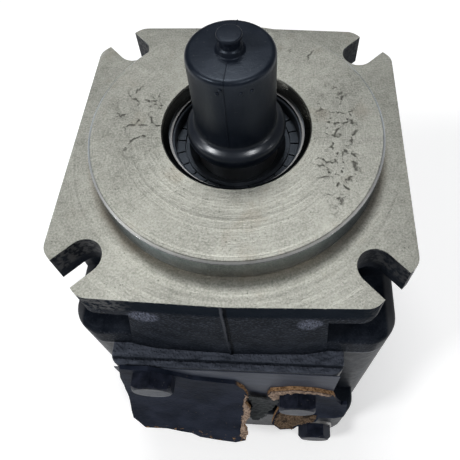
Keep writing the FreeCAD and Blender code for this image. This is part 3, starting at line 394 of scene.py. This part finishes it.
# Moulded rubber, with a smooth and glossy skin below the height shinyBelow.
def rubber(name, dark, light, rough, lump=0.5, shinyBelow=None):
    finish = Finish(name, Specular_IOR_Level=0.3, Specular_Tint=blackPaint["sheen"])
    cloud = finish.grain(11, 4)
    dust = finish.grain(0.9, 3).rise(0.66, 0.74)
    colour = finish.blend(cloud.rise(0.3, 0.72), dark, light)
    colour = finish.blend(dust * 0.12, colour, grey(0.35))
    height = finish.grain(0.7, 3) * 0.35 + finish.grain(4.5, 3) * lump
    gloss = cloud * 0.16 + rough - 0.06
    if shinyBelow:
        finish.set(Coat_Roughness=0.26, Coat_Weight=finish.z.rise((shinyBelow + 3) * mm, shinyBelow * mm))
    return finish.set(Base_Color=colour, Roughness=gloss, Normal=finish.bump(height, 0.14))


# The foot of the large piece is level as far as x, and from there it falls to the right.
footLine = {"x": -42, "z": -153.2, "slope": 0.17}


# Where the large piece shows brown: its right edge, and flecks along its foot.
def largeTorn(finish, edge):
    right = finish.x.rise(-12 * mm, -2 * mm) * finish.z.rise(-86 * mm, -92 * mm)
    fall = (finish.x - footLine["x"] * mm).most(0.0) * footLine["slope"]
    foot = (finish.z - footLine["z"] * mm + fall).rise(4.5 * mm, 0.5 * mm)
    low = finish.z.rise(-128 * mm, -134 * mm)
    flecks = finish.grain(4.2, 4, 0.65)
    return (edge * right).most(edge * low * flecks.rise(0.42, 0.55)).most(foot * flecks.rise(0.56, 0.62))


# Where the small piece shows brown: its upper edge, and the left part of its foot.
def smallTorn(finish, edge):
    top = finish.z.rise(-112 * mm, -104 * mm)
    return edge * top.most(finish.z.rise(-130 * mm, -140 * mm) * finish.x.rise(48 * mm, 42 * mm))


# Fibre board under the same black paint, brown fibres where it is torn.
def boardFinish(name, tornPlaces):
    finish = Finish(name, Specular_IOR_Level=0.02, Specular_Tint=blackPaint["sheen"])
    torn = tornPlaces(finish, abs(finish.facing[1]).rise(0.62, 0.42))
    fibre = finish.grain(1.5, 4, 0.7, finish.stretched(1, 1.6, 0.7))
    brown = finish.blend(fibre.rise(0.32, 0.66), (0.10, 0.05, 0.025, 1), (0.42, 0.26, 0.14, 1))
    cloud = finish.grain(13, 4)
    paint = finish.blend(cloud.rise(0.32, 0.7), (0.0075, 0.0105, 0.0190, 1), (0.022, 0.027, 0.043, 1))
    specks = finish.grain(1.3, 3, 0.6).rise(0.665, 0.73) * finish.grain(12, 2).rise(0.45, 0.6)
    paint = finish.blend(specks * 0.5, paint, (0.16, 0.13, 0.10, 1))
    wrinkle = finish.grain(6, 4, 0.6) * 0.9 + finish.grain(1.6, 3) * 0.5
    return finish.set(Base_Color=finish.blend(torn, paint, brown), Roughness=torn * 0.25 + cloud * 0.2 + 0.5,
                      Normal=finish.bump(wrinkle + torn * fibre * 1.5, 0.5))


# Brown board fibres, pulled up where the board is torn.
def tornFibre(name, dark, light, gaps):
    finish = Finish(name, Specular_IOR_Level=0.1)
    strand = finish.grain(1.1, 4, 0.7, finish.stretched(1, 1.5, 0.6))
    patchy = finish.grain(4.5, 3)
    colour = finish.blend(strand.rise(0.34, 0.62), dark, light)
    colour = finish.blend(patchy.rise(0.48, 0.64) * gaps, colour, (0.022, 0.016, 0.012, 1))
    return finish.set(Base_Color=colour, Roughness=strand * 0.2 + 0.7, Normal=finish.bump(strand, 0.6))


# The heights below which the left and the right screw head are worn.
wornBelow = {"left": -83, "right": -119}


# Painted hex heads: wornFront is 1 where the lower part of each head's front is rubbed bare.
def screwFinish(name, wornFront):
    finish = Finish(name, Specular_IOR_Level=0.06, Specular_Tint=blackPaint["sheen"])
    cloud = finish.grain(5, 4)
    left, right = (finish.z.rise((z + 2) * mm, (z - 2) * mm) for z in wornBelow.values())
    low = (left * finish.x.rise(0, -1 * mm)).most(right)
    front = finish.y.rise(screwFront + 0.9 * mm, screwFront + 0.3 * mm) * wornFront * (low * 0.8 + 0.2)
    chips = (front * finish.grain(3.4, 3).rise(0.3, 0.62)).most(finish.grain(2.2, 3).rise(0.64, 0.70) * 0.3)
    colour = finish.blend(cloud.rise(0.3, 0.7), (0.006, 0.0075, 0.013, 1), (0.018, 0.021, 0.034, 1))
    colour = finish.blend(chips, colour, (0.12, 0.12, 0.118, 1))
    return finish.set(Base_Color=colour, Roughness=cloud * 0.2 + 0.3, Metallic=chips * 0.7,
                      Normal=finish.bump(finish.grain(1.5, 4) + chips * 0.5, 0.12))


finishes = {
    "castAndTurned": castAndTurned(),
    "castPainted": castPainted(),
    "groundSteel": steel("groundSteel", 0.5, 0.3, 1.0),
    "plainSteel": steel("plainSteel", 0.45, 0.34, 3.0),
    "bronze": bronzeFinish(),
    "springSteel": steel("springSteel", 0.14, 0.3, 1.0),
    "sealRubber": rubber("sealRubber", grey(0.008), grey(0.018), 0.5),
    "sheetPaint": sheetPaint(),
    "tornFibre": tornFibre("tornFibre", (0.13, 0.088, 0.064, 1), (0.47, 0.345, 0.262, 1), 0.35),
    "darkFibre": tornFibre("darkFibre", (0.040, 0.027, 0.018, 1), (0.175, 0.118, 0.076, 1), 0.9),
    "darkPly": rubber("darkPly", (0.005, 0.006, 0.006, 1), (0.019, 0.021, 0.019, 1), 0.7, 2.5),
    "sealGrey": rubber("sealGrey", (0.006, 0.0075, 0.0095, 1), (0.020, 0.023, 0.028, 1), 0.30),
    "capRubber": rubber("capRubber", (0.0035, 0.0058, 0.0110, 1), (0.0085, 0.0115, 0.0185, 1),
                        0.33, 0.6, 18.5),
    "screwPaint": screwFinish("screwPaint", 1.0),
    "plugPaint": screwFinish("plugPaint", 0.0),
    "socketBlack": steel("socketBlack", 0.07, 0.42, 2.0),
    "copper": steel("copper", 0.3, 0.35, 1.0),
    "boardLarge": boardFinish("boardLarge", largeTorn),
    "boardSmall": boardFinish("boardSmall", smallTorn),
}

dressing = {
    "castAndTurned": ["front_cover"],
    "castPainted": ["gear_housing", "rear_cover"],
    "groundSteel": ["pinion_shaft", "ring_gear", "crescent_inner", "crescent_outer"],
    "plainSteel": ["crescent_pin", "front_dowels", "rear_dowels", "seal_spring"],
    "springSteel": ["seal_retaining_ring"],
    "bronze": ["front_side_plate", "rear_side_plate", "front_bushing", "rear_bushing"],
    "sealRubber": ["front_o_ring", "rear_o_ring", "front_plate_seal", "rear_plate_seal"],
    "sealGrey": ["shaft_seal"],
    "capRubber": ["shaft_cap"],
    "screwPaint": ["port_cover_bolts"],
    "plugPaint": ["gauge_plug"],
    "socketBlack": ["housing_bolts"],
    "copper": ["gauge_plug_ring"],
    "sheetPaint": ["port_blanking_sheet"],
    "boardLarge": ["port_cover_board"],
    "boardSmall": ["port_cover_scrap"],
}


def dress(piece, finishName):
    piece.data.materials.clear()
    piece.data.materials.append(finishes[finishName])


for finishName, members in dressing.items():
    for member in members:
        dress(nodes[member], finishName)


def selectOnly(piece):
    for other in bpy.context.view_layer.objects:
        other.select_set(False)
    piece.select_set(True)
    bpy.context.view_layer.objects.active = piece


def settle(piece, name, smooth=40):
    selectOnly(piece)
    bpy.ops.object.transform_apply(location=True, rotation=True, scale=True)
    bpy.ops.object.shade_smooth_by_angle(angle=math.radians(smooth))
    piece.name = name
    piece.data.name = name
    return piece


# Rounds the corners of an outline of (radius, height, bend) with a few points each.
def rounded(corners, steps=5):
    points = []
    for i, (r, z, bend) in enumerate(corners):
        if not bend:
            points.append((r, z))
            continue
        here = Vector((r, z))
        before = Vector(corners[i - 1][:2])
        after = Vector(corners[i + 1][:2])
        start = here + (before - here).normalized() * bend
        end = here + (after - here).normalized() * bend
        for k in range(steps + 1):
            t = k / steps
            spot = start * (1 - t) ** 2 + here * 2 * t * (1 - t) + end * t ** 2
            points.append((spot.x, spot.y))
    return points


# Turns an outline about the shaft axis, ring by ring, from a circle that is extruded and scaled.
def lathe(name, points, segments):
    bpy.ops.object.select_all(action="DESELECT")
    r, z = points[0]
    bpy.ops.mesh.primitive_circle_add(vertices=segments, radius=r * mm, location=(0, 0, z * mm))
    piece = bpy.context.object
    bpy.ops.object.transform_apply(location=True, rotation=True, scale=True)
    bpy.ops.object.mode_set(mode="EDIT")
    bpy.ops.mesh.select_all(action="SELECT")
    for nextR, nextZ in points[1:]:
        bpy.ops.mesh.extrude_edges_move(TRANSFORM_OT_translate={"value": (0, 0, (nextZ - z) * mm)})
        scale = nextR / r
        bpy.ops.transform.resize(value=(scale, scale, 1), center_override=(0, 0, nextZ * mm))
        r, z = nextR, nextZ
    if r < 0.6:
        bpy.ops.mesh.edge_face_add()
    bpy.ops.mesh.select_all(action="SELECT")
    bpy.ops.mesh.remove_doubles(threshold=1e-6)
    bpy.ops.mesh.normals_make_consistent(inside=False)
    bpy.ops.object.mode_set(mode="OBJECT")
    return settle(piece, name)


print("scene: rubber cap")
# Radii and heights of the cap, and the angle of its front seam.
cap = {"tube": 17.0, "tubeInner": 15.9, "foot": 19.8, "footInner": 18.3, "bulge": 21.2,
       "bottom": 8.0, "shoulder": 17.3, "top": 57.0, "nub": 4.7, "neck": 3.9, "nubTop": 65.0,
       "seamAngle": -95.0}


def makeCap():
    outline = rounded([
        (0.5, 55.9, 0), (cap["tubeInner"], 55.9, 0.8), (cap["tubeInner"], cap["shoulder"], 0.6),
        (cap["footInner"], cap["shoulder"] - 1.0, 0.6), (cap["footInner"], cap["bottom"], 0),
        (cap["foot"] - 0.2, cap["bottom"], 0.3), (cap["bulge"], cap["bottom"] + 3.2, 1.6),
        (cap["bulge"], cap["shoulder"] - 1.6, 2.4), (cap["tube"], cap["shoulder"] + 0.9, 1.8),
        (cap["tube"], cap["top"], 2.4),
        (cap["nub"] + 0.8, cap["top"] + 0.2, 0.5), (cap["nub"], cap["top"] + 2.0, 0.4),
        (cap["neck"], cap["top"] + 2.6, 0.3), (cap["neck"], cap["nubTop"] - 2.4, 0.3),
        (cap["nub"], cap["nubTop"] - 1.8, 0.3), (cap["nub"], cap["nubTop"], 0.6), (0.5, cap["nubTop"], 0)])
    skin = lathe("capSkin", outline, 128)
    dress(skin, "capRubber")
    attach(skin, "cap")
    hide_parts("shaft_cap")


makeCap()


# A bead along a path of points, for the thin line that the two halves of a mould leave.
def bead(name, path, radius, finishName, body):
    curve = bpy.data.curves.new(name, "CURVE")
    curve.dimensions = "3D"
    curve.bevel_depth = radius * mm
    curve.bevel_resolution = 1
    curve.use_fill_caps = True
    spline = curve.splines.new("POLY")
    spline.points.add(len(path) - 1)
    for point, spot in zip(spline.points, path):
        point.co = (spot[0] * mm, spot[1] * mm, spot[2] * mm, 1)
    piece = bpy.data.objects.new(name, curve)
    bpy.context.scene.collection.objects.link(piece)
    selectOnly(piece)
    bpy.ops.object.convert(target="MESH")
    piece = bpy.context.object
    settle(piece, name, 50)
    dress(piece, finishName)
    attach(piece, body)


def makeCapSeams():
    for side, angle in (("Front", cap["seamAngle"]), ("Back", cap["seamAngle"] + 180)):
        turn = math.radians(angle)
        path = rounded([(5.6, cap["top"], 0), (cap["tube"], cap["top"], 2.4), (cap["tube"], 17.6, 0)], 8)
        low, high = path[-1][1], path[-2][1]
        path = path[:-1] + [(cap["tube"], high + (low - high) * k / 14) for k in range(1, 15)]
        spots = []
        for k, (r, z) in enumerate(path):
            here = turn + math.radians(0.8 * noise.noise(Vector((k * 0.35, 1.7, angle))))
            spots.append((r * math.cos(here), r * math.sin(here), z))
        bead("capSeam" + side, spots, 0.28, "capRubber", "cap")


makeCapSeams()

pips = {"radius": 0.75, "spots": [(-103, 51.5), (-74, 51.5), (-60, 51.5), (-99, 53.6)]}


# Small round marks that the mould left on the tube.
def makeCapPips():
    for number, (angle, z) in enumerate(pips["spots"]):
        turn = math.radians(angle)
        spot = (cap["tube"] * math.cos(turn) * mm, cap["tube"] * math.sin(turn) * mm, z * mm)
        bpy.ops.object.select_all(action="DESELECT")
        bpy.ops.mesh.primitive_uv_sphere_add(
            segments=16, ring_count=10, radius=pips["radius"] * mm, location=spot)
        pip = settle(bpy.context.object, "capPip" + str(number + 1), 60)
        dress(pip, "capRubber")
        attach(pip, "cap")


makeCapPips()

print("scene: arm seam")
seam = {"x": -1.5, "y": -75.15, "top": -0.8, "bottom": -65.8, "radius": 0.7}


def makePartingSeam():
    spots = []
    for k in range(34):
        z = seam["top"] + (seam["bottom"] - seam["top"]) * k / 33
        drift = noise.noise(Vector((z * 0.09, 0.3, 0))) * 0.4
        spots.append((seam["x"] + drift, seam["y"] + noise.noise(Vector((z * 0.4, 5, 0))) * 0.25, z))
    bead("partingSeam", spots, seam["radius"], "castAndTurned", "housing")


makePartingSeam()

print("scene: torn board")
# Each piece of board: its screw, where it starts to bend, and the radius of its front face.
sheets = {"large": {"screw": (-38.15, -76.15), "front": -84.8, "start": -95.0, "radius": 140.0},
          "scrap": {"screw": (31.75, -111.85), "front": -84.8, "start": -123.3, "radius": 63.6}}
tornPatches = {
    "tornStripe": {"sheet": "large", "thick": 0.8, "finish": "tornFibre", "outline": [
        (42.3, -31), (41.6, -40), (40.6, -47), (41.0, -56), (39.6, -64), (39.0, -72), (38.4, -80),
        (41.8, -83), (43.6, -76), (41.4, -70), (44.2, -61), (45.2, -53), (42.2, -43), (44.2, -34)]},
    "tornArc": {"sheet": "scrap", "thick": 0.7, "finish": "tornFibre", "outline": [
        (-15.4, 2), (-13.8, 12.6), (-3, 18.6), (8, 17.6), (17.4, 11), (16.4, 8.0), (7.8, 12.4), (1, 13.4),
        (-6.6, 9.6), (-8.9, -5.2), (-13.0, -8.6)]},
    "tornFoot": {"sheet": "scrap", "thick": 1.2, "finish": "darkFibre", "outline": [
        (-10.6, -32.4), (-7.4, -29.6), (-2, -30.6), (4.2, -29.8), (12.8, -31.2), (12.2, -35.8), (7.2, -38.6),
        (2.6, -40.4), (-0.6, -43.4), (-7.8, -44.2), (-11.6, -41.0)]},
    "loosePly": {"sheet": "scrap", "thick": 0.6, "finish": "darkPly", "outline": [
        (-26, 1.5), (-16.6, -5.2), (-10.4, -7.7), (-8.7, -13.4), (-12.5, -26), (-17.3, -35.6), (-20.5, -38.7),
        (-24.7, -38.4), (-26.6, -33.8), (-24.4, -22), (-26.2, -10)]},
}


def isInside(u, v, outline):
    inside = False
    for (u1, v1), (u2, v2) in zip(outline, outline[1:] + outline[:1]):
        if (v1 > v) != (v2 > v) and u < u1 + (v - v1) * (u2 - u1) / (v2 - v1):
            inside = not inside
    return inside


# A rough scab on a piece of board: a fine grid cut to a ragged outline, thickened, and laid on the bend.
def makeTornPatch(name, spec):
    sheet, outline, cell = sheets[spec["sheet"]], spec["outline"], 0.45
    lowU, highU = min(u for u, v in outline), max(u for u, v in outline)
    lowV, highV = min(v for u, v in outline), max(v for u, v in outline)
    bpy.ops.object.select_all(action="DESELECT")
    bpy.ops.mesh.primitive_grid_add(
        x_subdivisions=int((highU - lowU) / cell), y_subdivisions=int((highV - lowV) / cell),
        size=1, location=((lowU + highU) / 2, (lowV + highV) / 2, 0))
    piece = bpy.context.object
    piece.scale = (highU - lowU, highV - lowV, 1)
    bpy.ops.object.transform_apply(location=True, rotation=True, scale=True)
    bpy.ops.object.mode_set(mode="EDIT")
    bpy.ops.mesh.select_all(action="DESELECT")
    bpy.ops.object.mode_set(mode="OBJECT")
    for vertex in piece.data.vertices:
        u, v, _ = vertex.co
        shift = noise.noise(Vector((u * 0.8, v * 0.8, 3))) * 0.9
        vertex.select = not isInside(u + shift, v - shift, outline)
    bpy.ops.object.mode_set(mode="EDIT")
    bpy.ops.mesh.delete(type="VERT")
    bpy.ops.mesh.select_all(action="SELECT")
    bpy.ops.mesh.extrude_region_move(TRANSFORM_OT_translate={"value": (0, 0, 1)})
    bpy.ops.mesh.select_all(action="SELECT")
    bpy.ops.mesh.normals_make_consistent(inside=False)
    bpy.ops.object.mode_set(mode="OBJECT")
    for vertex in piece.data.vertices:
        u, v, top = vertex.co
        lumps = 0.55 + 0.9 * noise.noise(Vector((u * 0.45, v * 0.45, 7)))
        lumps += 0.4 * noise.noise(Vector((u * 1.7, v * 1.7, 1)))
        lift = 0.03 + (max(0.12, lumps) * spec["thick"] if top > 0.5 else 0)
        x, z = sheet["screw"][0] + u, sheet["screw"][1] + v
        sunk = max(0.0, sheet["start"] - z)
        y = sheet["front"] - sheet["radius"] + math.sqrt(sheet["radius"] ** 2 - sunk ** 2) - lift
        vertex.co = (x * mm, y * mm, z * mm)
    piece.data.update()
    settle(piece, name, 60)
    bpy.ops.object.mode_set(mode="EDIT")
    bpy.ops.mesh.select_all(action="SELECT")
    bpy.ops.mesh.normals_make_consistent(inside=False)
    bpy.ops.object.mode_set(mode="OBJECT")
    dress(piece, spec["finish"])
    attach(piece, "housing")


for patchName, patchSpec in tornPatches.items():
    makeTornPatch(patchName, patchSpec)

print("scene: floor and light")


def makeStage():
    bpy.ops.object.select_all(action="DESELECT")
    bpy.ops.mesh.primitive_plane_add(size=8, location=(0, 0, -193 * mm))
    floor = bpy.context.object
    floor.name = "floor"
    ground = Finish("floorPaint")
    ground.set(Base_Color=grey(0.86), Roughness=0.8, Emission_Color=grey(1), Emission_Strength=0.4)
    floor.data.materials.append(ground.material)


# Each lamp: its place in metres, its two sides and its power. All of them point at the flange's centre.
lamps = {
    "keyAbove": ((-0.12, 0.46, 1.18), (0.45, 0.3), 5.6),
    "windowLeft": ((-0.87, -0.50, 1.0), (0.26, 0.26), 8.0),
    "windowRight": ((0.55, -0.58, 1.1), (0.2, 0.2), 4.0),
    "lowLeft": ((-1.35, -0.38, 0.5), (0.2, 0.2), 1.4),
    "lowRight": ((1.35, -0.38, 0.5), (0.2, 0.2), 0.9),
}


def addLamp(name, place, size, power):
    lamp = bpy.data.lights.new(name, "AREA")
    lamp.shape = "RECTANGLE"
    lamp.size, lamp.size_y = size
    lamp.energy = power
    holder = bpy.data.objects.new(name, lamp)
    bpy.context.scene.collection.objects.link(holder)
    holder.location = place
    holder.rotation_euler = (-Vector(place)).to_track_quat("-Z", "Y").to_euler()


makeStage()
for lampName, lampSpec in lamps.items():
    addLamp(lampName, *lampSpec)


# The sky of the studio: bright above and behind the pump, dark on the side of the camera.
def makeSky():
    world = bpy.data.worlds.new("studio")
    bpy.context.scene.world = world
    world.use_nodes = True
    sky = Shading(world.node_tree, "Generated")
    background = world.node_tree.nodes["Background"]
    background.inputs["Color"].default_value = (0.95, 0.965, 1.0, 1)
    above = (sky.z * 0.9 + sky.y * 0.3 - abs(sky.x) * 0.3).rise(0.66, 1.0)
    feed(background.inputs["Strength"], above * 0.8 + 0.1)


makeSky()
bpy.context.scene.view_settings.view_transform = "Standard"

print("scene: done")
